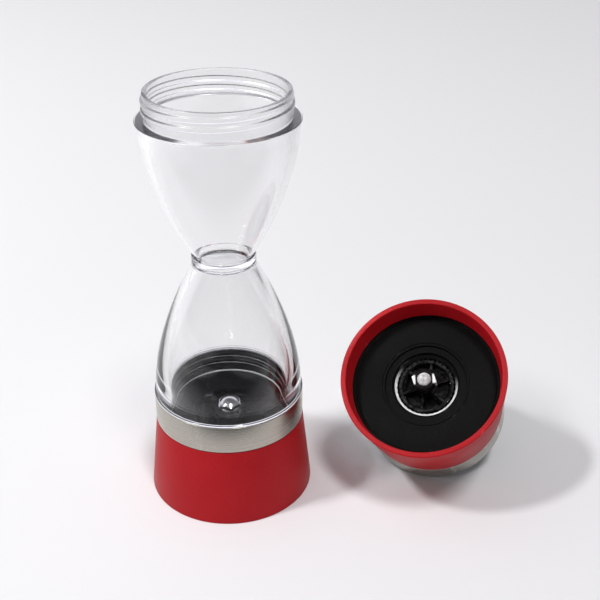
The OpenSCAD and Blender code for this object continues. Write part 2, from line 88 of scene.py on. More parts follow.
def makeCamera(s):
    data = bpy.data.cameras.new("camera")
    data.lens = s["lens"]
    data.sensor_width = s["sensor"]
    data.clip_start = s["clipStart"]
    camera = bpy.data.objects.new("camera", data)
    camera.location = s["place"]
    camera.rotation_euler = (math.radians(s["pitch"]), 0, math.radians(s["yaw"]))
    bpy.context.scene.collection.objects.link(camera)
    bpy.context.scene.camera = camera


makeCamera(cameraSettings)

# the side, front, low, top and back colours are met by reflected and refracted rays alone;
# they were tuned for the camera above, and the back is brighter than white
studio = {
    "floorColour": (0.82, 0.815, 0.83, 1),
    "floorRoughness": 0.7,
    "floorSpecular": 0.1,
    "floorSideColour": (0.42, 0.42, 0.44, 1),
    "floorFrontColour": (0.10, 0.10, 0.11, 1),
    "floorSize": 5,
    "sideStart": 0.38,
    "sideEnd": 0.75,
    "frontStart": 0.05,
    "frontEnd": 0.13,
    "frontInner": 0.22,
    "frontOuter": 0.36,
    "key": {"place": (-0.88, -0.72, 1.60), "aim": (-1.85, -0.58, 0), "size": (0.30, 0.30), "power": 38},
    "top": {"place": (1.30, -1.08, 4.52), "aim": (-1.42, 3.74, 0), "size": (0.80, 1.6), "power": 118},
    "leftColour": (0.45, 0.45, 0.46, 1),
    "rightColour": (0.13, 0.13, 0.135, 1),
    "topColour": (0.12, 0.12, 0.13, 1),
    "lowColour": (0.22, 0.22, 0.23, 1),
    "backColour": (1.15, 1.15, 1.25, 1),
    "backStart": -0.2,
    "backEnd": 0.4,
    "backLow": 0.45,
    "backHigh": 0.75,
    "ceilingStart": 0.15,
    "ceilingEnd": 0.8,
    "rightStart": 0.35,
    "rightEnd": 0.8,
    "backdropColour": (0.86, 0.86, 0.88, 1),
}


def feed(links, value, socket):
    # a value is another socket, or a plain number, vector or colour
    if isinstance(value, bpy.types.NodeSocket):
        links.new(value, socket)
    else:
        socket.default_value = value


def combine(nodes, links, operation, *values):
    node = nodes.new("ShaderNodeMath")
    node.operation = operation
    for value, socket in zip(values, node.inputs):
        feed(links, value, socket)
    return node.outputs[0]


def multiply(nodes, links, one, other):
    return combine(nodes, links, "MULTIPLY", one, other)


def colourMix(nodes, links, factor, low, high):
    mix = nodes.new("ShaderNodeMix")
    mix.data_type = "RGBA"
    links.new(factor, mix.inputs["Factor"])
    feed(links, low, mix.inputs["A"])
    feed(links, high, mix.inputs["B"])
    return mix.outputs["Result"]


def remap(nodes, links, value, start, end, low=0, high=1, interpolation="LINEAR"):
    node = nodes.new("ShaderNodeMapRange")
    node.interpolation_type = interpolation
    feed(links, value, node.inputs["Value"])
    feed(links, start, node.inputs["From Min"])
    feed(links, end, node.inputs["From Max"])
    feed(links, low, node.inputs["To Min"])
    feed(links, high, node.inputs["To Max"])
    return node.outputs[0]


def smoothRange(nodes, links, value, start, end):
    return remap(nodes, links, value, start, end, interpolation="SMOOTHSTEP")


def splitXYZ(nodes, links, vector):
    split = nodes.new("ShaderNodeSeparateXYZ")
    links.new(vector, split.inputs[0])
    return split.outputs


def turnedCoords(nodes, links, kind, yaw):
    coords = nodes.new("ShaderNodeTexCoord")
    turn = nodes.new("ShaderNodeMapping")
    turn.inputs["Rotation"].default_value = (0, 0, math.radians(-yaw))
    links.new(coords.outputs[kind], turn.inputs["Vector"])
    return splitXYZ(nodes, links, turn.outputs[0])


def indirectRay(nodes, links, path):
    # 1 for what is met after a reflection or through a clear piece
    return combine(nodes, links, "MAXIMUM",
                   path.outputs["Is Glossy Ray"], path.outputs["Is Transmission Ray"])


def makeFloor(s, yaw):
    mesh = bpy.data.meshes.new("floor")
    bm = bmesh.new()
    bmesh.ops.create_grid(bm, x_segments=2, y_segments=2, size=s["floorSize"] / 2)
    bmesh.ops.rotate(bm, cent=(0, 0, 0), matrix=Matrix.Rotation(math.radians(yaw), 3, "Z"), verts=bm.verts)
    bm.to_mesh(mesh)
    bm.free()
    floor = bpy.data.objects.new("floor", mesh)
    bpy.context.scene.collection.objects.link(floor)
    material = bpy.data.materials.new("floorPaper")
    material.use_nodes = True
    nodes, links = material.node_tree.nodes, material.node_tree.links
    shader = nodes["Principled BSDF"]
    shader.inputs["Roughness"].default_value = s["floorRoughness"]
    shader.inputs["Specular IOR Level"].default_value = s["floorSpecular"]
    at = turnedCoords(nodes, links, "Object", yaw)
    side = combine(nodes, links, "ABSOLUTE", at["X"])
    sideFade = smoothRange(nodes, links, at["X"], s["sideStart"], s["sideEnd"])
    nearFade = smoothRange(nodes, links, at["Y"], -s["frontStart"], -s["frontEnd"])
    middle = smoothRange(nodes, links, side, s["frontOuter"], s["frontInner"])
    front = multiply(nodes, links, nearFade, middle)
    indirect = indirectRay(nodes, links, nodes.new("ShaderNodeLightPath"))
    # seen only in reflections and through clear pieces, the paper is painted darker to the right and just in front
    # of the camera: painted shade
    paper = colourMix(nodes, links, multiply(nodes, links, sideFade, indirect),
                      s["floorColour"], s["floorSideColour"])
    paper = colourMix(nodes, links, multiply(nodes, links, front, indirect),
                      paper, s["floorFrontColour"])
    links.new(paper, shader.inputs["Base Color"])
    mesh.materials.append(material)


def makeLamp(name, s):
    data = bpy.data.lights.new(name, "AREA")
    data.shape = "ELLIPSE"
    data.size, data.size_y = s["size"]
    data.energy = s["power"]
    lamp = bpy.data.objects.new(name, data)
    lamp.location = s["place"]
    lamp.rotation_euler = (Vector(s["aim"]) - Vector(s["place"])).to_track_quat("-Z", "Y").to_euler()
    bpy.context.scene.collection.objects.link(lamp)


def makeWorld(s, yaw):
    world = bpy.data.worlds.new("studio")
    bpy.context.scene.world = world
    world.use_nodes = True
    nodes, links = world.node_tree.nodes, world.node_tree.links
    at = turnedCoords(nodes, links, "Generated", yaw)
    # the light that fills the room comes more from the left
    across = smoothRange(nodes, links, at["X"], -1, 1)
    room = colourMix(nodes, links, across, s["leftColour"], s["rightColour"])
    # what clear and glossy pieces meet: a dim room, and behind it a wall brighter than white
    height = smoothRange(nodes, links, at["Z"], s["ceilingStart"], s["ceilingEnd"])
    around = colourMix(nodes, links, height, s["lowColour"], s["topColour"])
    back = smoothRange(nodes, links, at["Y"], s["backStart"], s["backEnd"])
    low = smoothRange(nodes, links, at["Z"], s["backHigh"], s["backLow"])
    left = smoothRange(nodes, links, at["X"], s["rightEnd"], s["rightStart"])
    wall = multiply(nodes, links, multiply(nodes, links, back, low), left)
    mirrored = colourMix(nodes, links, wall, around, s["backColour"])
    path = nodes.new("ShaderNodeLightPath")
    unseen = colourMix(nodes, links, indirectRay(nodes, links, path), room, mirrored)
    seen = colourMix(nodes, links, path.outputs["Is Camera Ray"], unseen, s["backdropColour"])
    links.new(seen, nodes["Background"].inputs["Color"])


makeFloor(studio, cameraSettings["yaw"])
makeLamp("key", studio["key"])
makeLamp("top", studio["top"])
makeWorld(studio, cameraSettings["yaw"])
bpy.context.scene.view_settings.view_transform = "Standard"
print("stage built")


def newGroup(name, inputs, outputs):
    group = bpy.data.node_groups.new(name, "ShaderNodeTree")
    for label, value in inputs.items():
        kind = "NodeSocketVector" if isinstance(value, tuple) else "NodeSocketFloat"
        socket = group.interface.new_socket(name=label, in_out="INPUT", socket_type=kind)
        socket.default_value = value
    for label in outputs:
        group.interface.new_socket(name=label, in_out="OUTPUT", socket_type="NodeSocketFloat")
    return group, group.nodes.new("NodeGroupInput"), group.nodes.new("NodeGroupOutput")


def noise(nodes, links, vector, scale, detail, roughness=0.5):
    node = nodes.new("ShaderNodeTexNoise")
    links.new(vector, node.inputs["Vector"])
    feed(links, scale, node.inputs["Scale"])
    node.inputs["Detail"].default_value = detail
    node.inputs["Roughness"].default_value = roughness
    return node.outputs[0]


def makeMouldGrain():
    # fine spark-eroded grain, and the soft clouds that a moulding shows in its gloss
    group, given, result = newGroup(
        "mouldGrain", {"Vector": (0, 0, 0), "Grain": 4000.0, "Clouds": 90.0}, ["Height", "Tone"])
    nodes, links, at = group.nodes, group.links, given.outputs
    grain = noise(nodes, links, at["Vector"], at["Grain"], detail=3, roughness=0.6)
    clouds = noise(nodes, links, at["Vector"], at["Clouds"], detail=5, roughness=0.55)
    links.new(grain, result.inputs["Height"])
    links.new(clouds, result.inputs["Tone"])
    return group


def makeBrushLines():
    # lines left by brushing or turning, drawn out along the directions with a small stretch
    group, given, result = newGroup(
        "brushLines", {"Vector": (0, 0, 0), "Stretch": (60.0, 60.0, 9000.0)}, ["Height", "Streak"])
    nodes, links = group.nodes, group.links
    drawn = nodes.new("ShaderNodeVectorMath")
    drawn.operation = "MULTIPLY"
    links.new(given.outputs["Vector"], drawn.inputs[0])
    links.new(given.outputs["Stretch"], drawn.inputs[1])
    fine = noise(nodes, links, drawn.outputs[0], 1, detail=4, roughness=0.7)
    wide = noise(nodes, links, drawn.outputs[0], 0.21, detail=6, roughness=0.65)
    links.new(fine, result.inputs["Height"])
    links.new(wide, result.inputs["Streak"])
    return group


def makeEdgeWear():
    # polished or rubbed edges, broken up so that they don't run evenly
    group, given, result = newGroup(
        "edgeWear", {"Vector": (0, 0, 0), "Edge": 0.5, "Start": 0.53, "End": 0.62, "Patches": 700.0}, ["Mask"])
    nodes, links, at = group.nodes, group.links, given.outputs
    edge = remap(nodes, links, at["Edge"], at["Start"], at["End"])
    patches = noise(nodes, links, at["Vector"], at["Patches"], detail=4)
    broken = remap(nodes, links, patches, 0.38, 0.62)
    links.new(multiply(nodes, links, edge, broken), result.inputs["Mask"])
    return group


def makeDust():
    # thin dust in specks, thicker on faces that look up
    group, given, result = newGroup(
        "dust", {"Vector": (0, 0, 0), "Up": 0.0, "Specks": 2600.0, "Amount": 0.3}, ["Mask"])
    nodes, links, at = group.nodes, group.links, given.outputs
    up = remap(nodes, links, at["Up"], -0.2, 1)
    specks = noise(nodes, links, at["Vector"], at["Specks"], detail=6, roughness=0.75)
    few = remap(nodes, links, specks, 0.52, 0.8)
    lying = multiply(nodes, links, up, few)
    links.new(multiply(nodes, links, lying, at["Amount"]), result.inputs["Mask"])
    return group


mouldGrain = makeMouldGrain()
brushLines = makeBrushLines()
edgeWear = makeEdgeWear()
dust = makeDust()


def newMaterial(name):
    material = bpy.data.materials.new(name)
    material.use_nodes = True
    return material, material.node_tree.nodes, material.node_tree.links


def placeGroup(nodes, links, group, vector, values):
    node = nodes.new("ShaderNodeGroup")
    node.node_tree = group
    links.new(vector, node.inputs["Vector"])
    for label, value in values.items():
        node.inputs[label].default_value = value
    return node


def headPoint(nodes, links, head):
    # Object coordinates turned back to how the head stands on the mill
    coords = nodes.new("ShaderNodeTexCoord")
    turn = nodes.new("ShaderNodeMapping")
    turn.vector_type = "TEXTURE"
    turn.inputs["Location"].default_value = headPlaces[head].to_translation()
    turn.inputs["Rotation"].default_value = headPlaces[head].to_euler()
    links.new(coords.outputs["Object"], turn.inputs["Vector"])
    return turn.outputs[0]


noiseRange = (0.3, 0.7)     # where nearly all values of a noise lie


def spread(nodes, links, value, low, high):
    # turns a noise value into a range that is used to both its ends
    return remap(nodes, links, value, *noiseRange, low, high)


def raiseBump(nodes, links, height, distance, strength, shader):
    bump = nodes.new("ShaderNodeBump")
    bump.inputs["Distance"].default_value = distance
    bump.inputs["Strength"].default_value = strength
    links.new(height, bump.inputs["Height"])
    links.new(bump.outputs[0], shader.inputs["Normal"])


dustRoughness = 0.4         # what full dust adds to a finish's roughness


def wearAndDust(nodes, links, point, colour, roughness, s):
    geometry = nodes.new("ShaderNodeNewGeometry")
    wear = placeGroup(nodes, links, edgeWear, point, {"Start": s["wearStart"], "End": s["wearEnd"]})
    links.new(geometry.outputs["Pointiness"], wear.inputs["Edge"])
    specks = placeGroup(nodes, links, dust, point, {"Amount": s["dustAmount"]})
    links.new(splitXYZ(nodes, links, geometry.outputs["Normal"])["Z"], specks.inputs["Up"])
    colour = colourMix(nodes, links, wear.outputs["Mask"], colour, s["wearColour"])
    colour = colourMix(nodes, links, specks.outputs["Mask"], colour, s["dustColour"])
    return colour, combine(nodes, links, "MULTIPLY_ADD", specks.outputs["Mask"], dustRoughness, roughness)


def mouldedMaterial(name, s, head):
    material, nodes, links = newMaterial(name)
    shader = nodes["Principled BSDF"]
    shader.inputs["Specular IOR Level"].default_value = s["specular"]
    point = headPoint(nodes, links, head)
    grain = placeGroup(nodes, links, mouldGrain, point, {"Grain": s["grain"], "Clouds": s["clouds"]})
    tone = spread(nodes, links, grain.outputs["Tone"], 0, 1)
    colour = colourMix(nodes, links, tone, s["colour"], s["cloudColour"])
    rough = spread(nodes, links, grain.outputs["Tone"], s["roughness"][0], s["roughness"][1])
    colour, rough = wearAndDust(nodes, links, point, colour, rough, s)
    links.new(colour, shader.inputs["Base Color"])
    links.new(rough, shader.inputs["Roughness"])
    raiseBump(nodes, links, grain.outputs["Height"], s["grainDepth"], s["grainStrength"], shader)
    return material


def paintedGlintMaterial(name, s, head):
    # a moulded finish with two painted highlights at opposite corners, placed along two directions in the head's
    # frame
    material = mouldedMaterial(name, s, head)
    nodes, links = material.node_tree.nodes, material.node_tree.links
    point = headPoint(nodes, links, head)
    masks = []
    for direction, limits in ((s["glintAlong"], s["glintPlace"]), (s["glintAcross"], s["glintReach"])):
        along = nodes.new("ShaderNodeVectorMath")
        along.operation = "DOT_PRODUCT"
        along.inputs[1].default_value = direction
        links.new(point, along.inputs[0])
        off = combine(nodes, links, "ABSOLUTE", along.outputs["Value"])
        masks.append(smoothRange(nodes, links, off, *limits))
    colour = nodes["Principled BSDF"].inputs["Base Color"]
    paintedGlints = multiply(nodes, links, *masks)
    links.new(colourMix(nodes, links, paintedGlints, colour.links[0].from_socket, s["glintColour"]), colour)
    return material


def paintedHighlightMaterial(name, s, head):
    # a painted highlight: the face is painted bright where it looks up and dark elsewhere; this is set by its
    # direction, not by the lamps
    material, nodes, links = newMaterial(name)
    shader = nodes["Principled BSDF"]
    shader.inputs["Specular IOR Level"].default_value = s["specular"]
    point = headPoint(nodes, links, head)
    grain = placeGroup(nodes, links, mouldGrain, point, {"Grain": s["grain"], "Clouds": s["clouds"]})
    tone = spread(nodes, links, grain.outputs["Tone"], 0, 1)
    bright = colourMix(nodes, links, tone, s["colour"], s["cloudColour"])
    geometry = nodes.new("ShaderNodeNewGeometry")
    up = splitXYZ(nodes, links, geometry.outputs["Normal"])["Z"]
    paintedHighlightUp = smoothRange(nodes, links, up, *s["paintedHighlightUp"])
    links.new(colourMix(nodes, links, paintedHighlightUp, s["dullColour"], bright), shader.inputs["Base Color"])
    rough = spread(nodes, links, grain.outputs["Tone"], s["roughness"][0], s["roughness"][1])
    links.new(rough, shader.inputs["Roughness"])
    raiseBump(nodes, links, grain.outputs["Height"], s["grainDepth"], s["grainStrength"], shader)
    return material


def steelMaterial(name, s, head):
    material, nodes, links = newMaterial(name)
    shader = nodes["Principled BSDF"]
    shader.inputs["Metallic"].default_value = 1
    point = headPoint(nodes, links, head)
    lines = placeGroup(nodes, links, brushLines, point, {"Stretch": s["stretch"]})
    tone = spread(nodes, links, lines.outputs["Streak"], 0, 1)
    colour = colourMix(nodes, links, tone, s["colour"], s["streakColour"])
    rough = spread(nodes, links, lines.outputs["Streak"], s["roughness"][0], s["roughness"][1])
    colour, rough = wearAndDust(nodes, links, point, colour, rough, s)
    links.new(colour, shader.inputs["Base Color"])
    links.new(rough, shader.inputs["Roughness"])
    raiseBump(nodes, links, lines.outputs["Height"], s["lineDepth"], s["lineStrength"], shader)
    return material


def acrylicMaterial(name, s, head):
    material, nodes, links = newMaterial(name)
    shader = nodes["Principled BSDF"]
    shader.inputs["IOR"].default_value = s["ior"]
    shader.inputs["Transmission Weight"].default_value = 1
    point = headPoint(nodes, links, head)
    flow = placeGroup(nodes, links, brushLines, point, {"Stretch": s["flow"]})
    tone = spread(nodes, links, flow.outputs["Streak"], 0, 1)
    links.new(colourMix(nodes, links, tone, s["tint"], s["flowTint"]), shader.inputs["Base Color"])
    haze = placeGroup(nodes, links, mouldGrain, point, {"Grain": s["scuffs"], "Clouds": s["clouds"]})
    rough = spread(nodes, links, haze.outputs["Tone"], s["roughness"][0], s["roughness"][1])
    # the open neck is a little frosted
    neck = (reachOf("upper_cup")[2] - s["frostHeight"]) * mm
    level = splitXYZ(nodes, links, point)["Z"]
    frosted = smoothRange(nodes, links, level, neck + s["frostStart"] * mm, neck + s["frostEnd"] * mm)
    rough = combine(nodes, links, "MULTIPLY_ADD", frosted, s["frost"], rough)
    links.new(rough, shader.inputs["Roughness"])
    raiseBump(nodes, links, flow.outputs["Streak"], s["flowDepth"], s["flowStrength"], shader)
    clear = nodes.new("ShaderNodeBsdfTransparent")
    clear.inputs["Color"].default_value = s["shadowTint"]
    mix = nodes.new("ShaderNodeMixShader")
    path = nodes.new("ShaderNodeLightPath")
    links.new(path.outputs["Is Shadow Ray"], mix.inputs[0])
    links.new(shader.outputs[0], mix.inputs[1])
    links.new(clear.outputs[0], mix.inputs[2])
    links.new(mix.outputs[0], nodes["Material Output"].inputs["Surface"])
    return material


redShell = {
    "colour": (0.385, 0.0062, 0.0105, 1),
    "cloudColour": (0.42, 0.0085, 0.014, 1),
    "roughness": (0.36, 0.46),
    "specular": 0.11,
    "grain": 3500,
    "clouds": 70,
    "grainDepth": 0.00004,
    "grainStrength": 0.18,
    "wearColour": (0.60, 0.06, 0.07, 1),
    "wearStart": 0.53,
    "wearEnd": 0.66,
    "dustColour": (0.75, 0.65, 0.62, 1),
    "dustAmount": 0.16,
}

blackMoulding = {
    "colour": (0.0024, 0.0024, 0.0023, 1),
    "cloudColour": (0.0038, 0.0038, 0.0036, 1),
    "roughness": (0.50, 0.62),
    "specular": 0.06,
    "grain": 2600,
    "clouds": 120,
    "grainDepth": 0.00008,
    "grainStrength": 0.35,
    "wearColour": (0.05, 0.05, 0.05, 1),
    "wearStart": 0.53,
    "wearEnd": 0.66,
    "dustColour": (0.35, 0.34, 0.32, 1),
    "dustAmount": 0.05,
}

blackGloss = {
    "colour": (0.003, 0.003, 0.0035, 1),
    "cloudColour": (0.0045, 0.0045, 0.005, 1),
    "roughness": (0.16, 0.28),
    "specular": 0.06,
    "grain": 900,
    "clouds": 150,
    "grainDepth": 0.00002,
    "grainStrength": 0.05,
    "wearColour": (0.08, 0.08, 0.085, 1),
    "wearStart": 0.53,
    "wearEnd": 0.66,
    "dustColour": (0.4, 0.39, 0.37, 1),
    "dustAmount": 0.05,
}

burrBlack = {
    "colour": (0.0015, 0.0015, 0.0015, 1),
    "cloudColour": (0.003, 0.003, 0.003, 1),
    "roughness": (0.45, 0.58),
    "specular": 0.035,
    "grain": 1500,
    "clouds": 300,
    "grainDepth": 0.00005,
    "grainStrength": 0.25,
    "wearColour": (0.04, 0.04, 0.04, 1),
    "wearStart": 0.54,
    "wearEnd": 0.7,
    "dustColour": (0.2, 0.19, 0.17, 1),
    "dustAmount": 0.04,
}

# the burr chamfer's painted highlight: bright grey where it looks up, its own near-black elsewhere
burrEdgePaintedHighlight = {
    "colour": (0.66, 0.66, 0.66, 1),
    "cloudColour": (0.88, 0.88, 0.88, 1),
    "dullColour": (0.006, 0.006, 0.006, 1),
    "paintedHighlightUp": (0.36, 0.64),
    "roughness": (0.3, 0.5),
    "specular": 0.3,
    "grain": 1500,
    "clouds": 300,
    "grainDepth": 0.00001,
    "grainStrength": 0.3,
}

# the nut's near-black colour is a painted reflection of a dark room, and the last five entries paint two
# highlights at opposite corners
nutPaintedDarkAndGlints = {
    "colour": (0.002, 0.002, 0.002, 1),
    "cloudColour": (0.005, 0.005, 0.005, 1),
    "roughness": (0.30, 0.45),
    "specular": 0.08,
    "grain": 1500,
    "clouds": 500,
    "grainDepth": 0.00002,
    "grainStrength": 0.3,
    "wearColour": (0.10, 0.10, 0.10, 1),
    "wearStart": 0.53,
    "wearEnd": 0.66,
    "dustColour": (0.3, 0.28, 0.25, 1),
    "dustAmount": 0.05,
    "glintAlong": (0.96, -0.28, 0),
    "glintAcross": (0.28, 0.96, 0),
    "glintPlace": (0.0029, 0.0033),
    "glintReach": (0.0021, 0.0013),
    "glintColour": (0.9, 0.9, 0.89, 1),
}

silicone = {
    "colour": (0.55, 0.55, 0.53, 1),
    "cloudColour": (0.62, 0.62, 0.60, 1),
    "roughness": (0.35, 0.5),
    "specular": 0.4,
    "grain": 1800,
    "clouds": 200,
    "grainDepth": 0.00003,
    "grainStrength": 0.2,
    "wearColour": (0.75, 0.75, 0.73, 1),
    "wearStart": 0.53,
    "wearEnd": 0.66,
    "dustColour": (0.3, 0.28, 0.25, 1),
    "dustAmount": 0.2,
}

brushedBand = {
    "colour": (0.40, 0.38, 0.335, 1),
    "streakColour": (0.47, 0.445, 0.395, 1),
    "roughness": (0.22, 0.32),
    "stretch": (70.0, 70.0, 9000.0),
    "lineDepth": 0.00002,
    "lineStrength": 0.22,
    "wearColour": (0.85, 0.84, 0.82, 1),
    "wearStart": 0.52,
    "wearEnd": 0.6,
    "dustColour": (0.5, 0.48, 0.45, 1),
    "dustAmount": 0.1,
}

brightSteel = {
    "colour": (0.66, 0.66, 0.67, 1),
    "streakColour": (0.74, 0.74, 0.75, 1),
    "roughness": (0.10, 0.2),
    "stretch": (500.0, 500.0, 6000.0),
    "lineDepth": 0.00001,
    "lineStrength": 0.2,
    "wearColour": (0.9, 0.9, 0.9, 1),
    "wearStart": 0.53,
    "wearEnd": 0.66,
    "dustColour": (0.4, 0.38, 0.35, 1),
    "dustAmount": 0.15,
}

paleZinc = {
    "colour": (0.36, 0.35, 0.34, 1),
    "cloudColour": (0.95, 0.95, 0.94, 1),
    "roughness": (0.35, 0.5),
    "specular": 0.7,
    "grain": 3000,
    "clouds": 650,
    "grainDepth": 0.00005,
    "grainStrength": 0.4,
    "wearColour": (0.95, 0.95, 0.95, 1),
    "wearStart": 0.53,
    "wearEnd": 0.66,
    "dustColour": (0.45, 0.38, 0.30, 1),
    "dustAmount": 0.3,
}

springSteel = {
    "colour": (0.45, 0.45, 0.46, 1),
    "streakColour": (0.58, 0.58, 0.58, 1),
    "roughness": (0.2, 0.32),
    "stretch": (2500.0, 2500.0, 2500.0),
    "lineDepth": 0.00001,
    "lineStrength": 0.2,
    "wearColour": (0.8, 0.8, 0.8, 1),
    "wearStart": 0.53,
    "wearEnd": 0.66,
    "dustColour": (0.3, 0.27, 0.22, 1),
    "dustAmount": 0.2,
}

clearAcrylic = {
    "tint": (0.985, 0.988, 0.992, 1),
    "flowTint": (0.995, 0.996, 0.998, 1),
    "shadowTint": (0.78, 0.785, 0.795, 1),      # chosen for the shadow's depth, not measured
    "ior": 1.49,
    "flow": (140.0, 140.0, 9.0),
    "flowDepth": 0.00009,
    "flowStrength": 0.2,
    "scuffs": 2500,
    "clouds": 60,
    "roughness": (0.0, 0.03),
    "frost": 0.22,
    "frostHeight": 9.8,     # the neck and its flange
    "frostStart": -0.5,
    "frostEnd": 1,
}

recipes = {
    "red_shell": (mouldedMaterial, redShell),
    "black_moulding": (mouldedMaterial, blackMoulding),
    "black_gloss_moulding": (mouldedMaterial, blackGloss),
    "burr_ceramic": (mouldedMaterial, burrBlack),
    "edge_painted_highlight": (paintedHighlightMaterial, burrEdgePaintedHighlight),
    "nut_painted_dark_and_glints": (paintedGlintMaterial, nutPaintedDarkAndGlints),
    "pale_zinc": (mouldedMaterial, paleZinc),
    "silicone": (mouldedMaterial, silicone),
    "brushed_band": (steelMaterial, brushedBand),
    "bright_steel": (steelMaterial, brightSteel),
    "spring_steel": (steelMaterial, springSteel),
    "clear_acrylic": (acrylicMaterial, clearAcrylic),
}

finishes = {
    (head, slot): make(head + "_" + slot, settings, head)
    for head in headPlaces for slot, (make, settings) in recipes.items()
    if (head, slot) != ("upper", "clear_acrylic")
}
print("materials made")


def filletPoints(before, corner, after, radius, steps):
    # the arc that rounds one corner of an outline
    toBefore = (before - corner).normalized()
    toAfter = (after - corner).normalized()
    half = toBefore.angle(toAfter) / 2
    if radius == 0 or half > 0.49 * math.pi:
        return [corner]
    centre = corner + (toBefore + toAfter).normalized() * (radius / math.sin(half))
    start = corner + toBefore * (radius / math.tan(half)) - centre
    end = corner + toAfter * (radius / math.tan(half)) - centre
    turned = (start.slerp(end, step / steps).normalized() for step in range(steps + 1))
    return [centre + direction * start.length for direction in turned]


def roundedOutline(corners, steps=4):
    # corners are (radius, level, rounding), and the outline closes on itself
    points = [Vector((corner[0], corner[1])) for corner in corners]
    outline = []
    for index, corner in enumerate(corners):
        before = points[index - 1]
        after = points[(index + 1) % len(points)]
        outline += filletPoints(before, points[index], after, corner[2], steps)
    return outline


def spinOutline(outline, turns=192, closed=True):
    bm = bmesh.new()
    verts = [bm.verts.new((point[0] * mm, 0, point[1] * mm)) for point in outline]
    edges = [bm.edges.new(pair) for pair in zip(verts, verts[1:])]
    if closed:
        edges.append(bm.edges.new((verts[-1], verts[0])))
    bmesh.ops.spin(bm, geom=verts + edges, cent=(0, 0, 0), axis=(0, 0, 1), dvec=(0, 0, 0),
                   angle=math.tau, steps=turns, use_merge=True, use_duplicate=False)
    bmesh.ops.remove_doubles(bm, verts=bm.verts, dist=mm * 0.001)
    return bm


def showPiece(bm, node, slot, place, sharp=40, finish=None):
    bmesh.ops.recalc_face_normals(bm, faces=bm.faces)
    bm.transform(place)
    for face in bm.faces:
        face.smooth = True
    for edge in bm.edges:
        edge.smooth = edge.calc_face_angle(0) < math.radians(sharp)
    mesh = bpy.data.meshes.new(node)
    bm.to_mesh(mesh)
    bm.free()
    piece = bpy.data.objects.new(node + ".shown", mesh)
    bpy.context.scene.collection.objects.link(piece)
    head = node.split("_")[0]
    mesh.materials.append(finishes[head, finish or slot])
    if slot != "spring_steel":
        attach(piece, bodyOf[node])
    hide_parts(node)
    return piece


def dressedCopy(node, slot, soften, sharp=35, finish=None):
    # a merged copy of a CAD node, its flat faces rejoined and its edges softened
    bm = bmesh.new()
    bm.from_mesh(frame["nodes"][node].data)
    bmesh.ops.remove_doubles(bm, verts=bm.verts, dist=mm * 0.002)
    bmesh.ops.dissolve_limit(bm, angle_limit=math.radians(0.5), verts=bm.verts, edges=bm.edges)
    if soften:
        edges = [edge for edge in bm.edges if edge.calc_face_angle(0) > math.radians(sharp)]
        bmesh.ops.bevel(bm, geom=edges, offset=soften * mm, offset_type="OFFSET", segments=2,
                        profile=0.5, affect="EDGES", clamp_overlap=True, material=-1)
    return showPiece(bm, node, slot, Matrix.Identity(4), sharp, finish)


def bendSpring(spring):
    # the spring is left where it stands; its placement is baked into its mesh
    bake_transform(spring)


skirtSettings = {
    "rimWidth": 2,
    "wall": 1.5,
    "topEdge": 2.15,        # from the outside to the collar's bore
    "bore": 7.2,
    "plateLevel": 9,
    "plateThickness": 2.5,
    "edgeRound": 0.4,
    "leadIn": 1,
    "beadDepth": 0.35,
    "beadStart": 0.1,       # levels below the plate's underside
    "beadCrest": 0.45,
    "beadEnd": 1.05,
}


def makeSkirt(head, s):
    footR, footZ, topZ = reachOf("lower_skirt")
    bodyR = reachOf("lower_steel_band")[0]
    boreR = bodyR - s["topEdge"]
    slope = (footR - bodyR) / topZ
    seatTop = s["plateLevel"] + s["plateThickness"]
    seatR = footR - slope * seatTop - s["wall"]
    shoulder = topZ - s["bore"]
    chamberR = footR - slope * shoulder - s["wall"]
    soft = s["edgeRound"]
    outline = roundedOutline([
        (footR - s["rimWidth"], 0, soft),
        (footR, 0, soft),
        (bodyR, topZ, soft),
        (boreR + s["leadIn"], topZ, 0.1),
        (boreR, topZ - s["leadIn"], 0),
        (boreR, shoulder, 0.15),
        (chamberR, shoulder, 0.3),
        (chamberR, seatTop, 0.1),
        (seatR, seatTop, 0.1),
        (seatR, s["plateLevel"] - s["beadStart"], 0),
        (seatR - s["beadDepth"], s["plateLevel"] - s["beadCrest"], 0.1),
        (seatR, s["plateLevel"] - s["beadEnd"], 0),
    ])
    showPiece(spinOutline(outline), head + "_skirt", "red_shell", headPlaces[head])


bandSettings = {"sheet": 0.5, "edgeRound": 0.16, "turnSteps": 256}


def makeBand(head, s):
    bodyR, lowZ, highZ = reachOf("lower_steel_band")
    innerR = bodyR - s["sheet"]
    soft = s["edgeRound"]
    outline = roundedOutline([
        (innerR, lowZ, soft), (bodyR, lowZ, soft), (bodyR, highZ, soft), (innerR, highZ, soft),
    ])
    showPiece(spinOutline(outline, s["turnSteps"]), head + "_steel_band", "brushed_band", headPlaces[head])


def raiseThread(bm, wall, height, start, pitch, firstTurn, lastTurn, low, high):
    # lifts a helical ridge out of the wall; a negative height stands inwards
    foot, crest, fade = 0.36, 0.16, 0.10
    for vert in bm.verts:
        radius = math.hypot(vert.co.x, vert.co.y) / mm
        level = vert.co.z / mm
        if abs(radius - wall) > 0.01 or not low <= level <= high:
            continue
        angle = (math.atan2(vert.co.y, vert.co.x) / math.tau) % 1
        turn = angle + round((level - start) / pitch - angle)
        off = abs((level - start) / pitch - turn)
        lift = max(0, min(1, (foot - off) / (foot - crest)))
        lift *= max(0, min(1, (turn - firstTurn) / fade, (lastTurn - turn) / fade))
        lift = lift * lift * (3 - 2 * lift)
        scale = (radius + height * lift) / radius
        vert.co.x *= scale
        vert.co.y *= scale


def evenSteps(start, end, step):
    # points from start to end, both left out
    start, end = Vector(start), Vector(end)
    count = max(1, round((end - start).length / step))
    return [start.lerp(end, index / count) for index in range(1, count)]


def cubicCurve(a, b, c, d, steps):
    points = []
    for step in range(steps + 1):
        t = step / steps
        s = 1 - t
        points.append(s * s * s * Vector(a) + 3 * s * s * t * Vector(b)
                      + 3 * s * t * t * Vector(c) + t * t * t * Vector(d))
    return points


